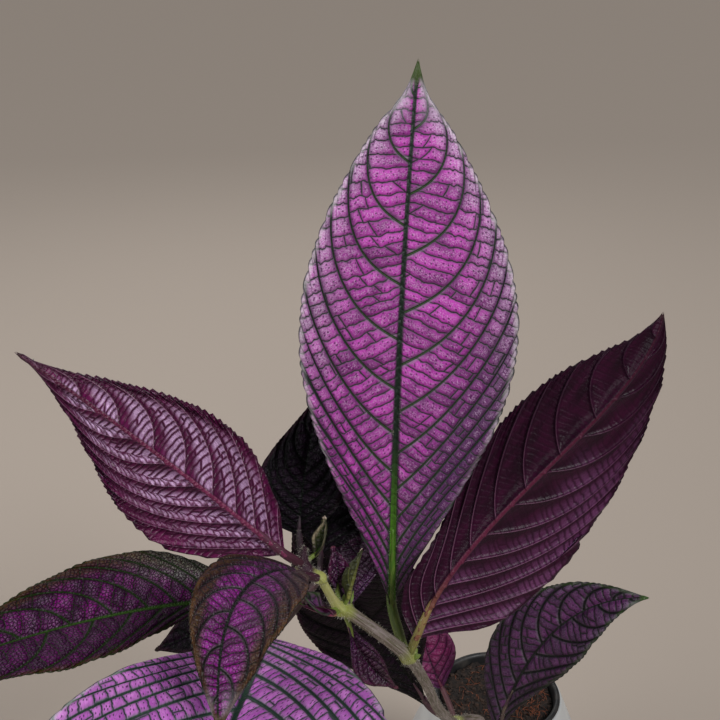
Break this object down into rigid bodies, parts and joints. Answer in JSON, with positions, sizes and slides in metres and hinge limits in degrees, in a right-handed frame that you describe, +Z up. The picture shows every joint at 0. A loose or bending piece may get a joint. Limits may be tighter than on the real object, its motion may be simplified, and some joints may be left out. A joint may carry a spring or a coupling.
{
  "type": "potted plant",
  "caption": "Potted foliage plant with large quilted purple leaves on a leaning stem, in a nursery pot inside a bellied planter.",
  "frame": {"origin": "centre of the planter's flat underside", "axes": "+Z up along the pot's axis, -Y towards the viewer, the stem leans towards -X and -Y"},
  "size_m": [0.2673, 0.376, 0.4404],
  "materials": {
    "planter": "satin glazed ceramic",
    "nursery_pot": "matte black plastic",
    "soil": "loose potting soil with fibres",
    "stem": "ribbed and hairy",
    "leaf_tall_centre": "quilted, metallic sheen between green veins",
    "leaf_right_underside": "quilted, metallic sheen between green veins",
    "leaf_left_underside": "quilted, metallic sheen between green veins",
    "leaf_lower_left": "quilted, metallic sheen between green veins",
    "leaf_front_arching": "quilted, metallic sheen between green veins",
    "leaf_front_large": "quilted, metallic sheen between green veins",
    "leaf_right_small": "quilted, metallic sheen between green veins",
    "leaf_back_dark": "quilted, metallic sheen between green veins",
    "leaf_behind_stem": "quilted, metallic sheen between green veins",
    "leaf_shade_long": "quilted, metallic sheen between green veins",
    "leaf_shade_inner": "quilted, metallic sheen between green veins",
    "leaf_shade_small": "quilted, metallic sheen between green veins"
  },
  "bodies": {
    "root": {"planter": "planter", "nursery_pot": "nursery_pot", "soil": "soil", "stem": "stem", "leaf_tall_centre": "leaf_tall_centre", "leaf_right_underside": "leaf_right_underside", "leaf_left_underside": "leaf_left_underside", "leaf_lower_left": "leaf_lower_left", "leaf_front_arching": "leaf_front_arching", "leaf_front_large": "leaf_front_large", "leaf_right_small": "leaf_right_small", "leaf_back_dark": "leaf_back_dark", "leaf_behind_stem": "leaf_behind_stem", "leaf_shade_long": "leaf_shade_long", "leaf_shade_inner": "leaf_shade_inner", "leaf_shade_small": "leaf_shade_small"}
  },
  "joints": []
}
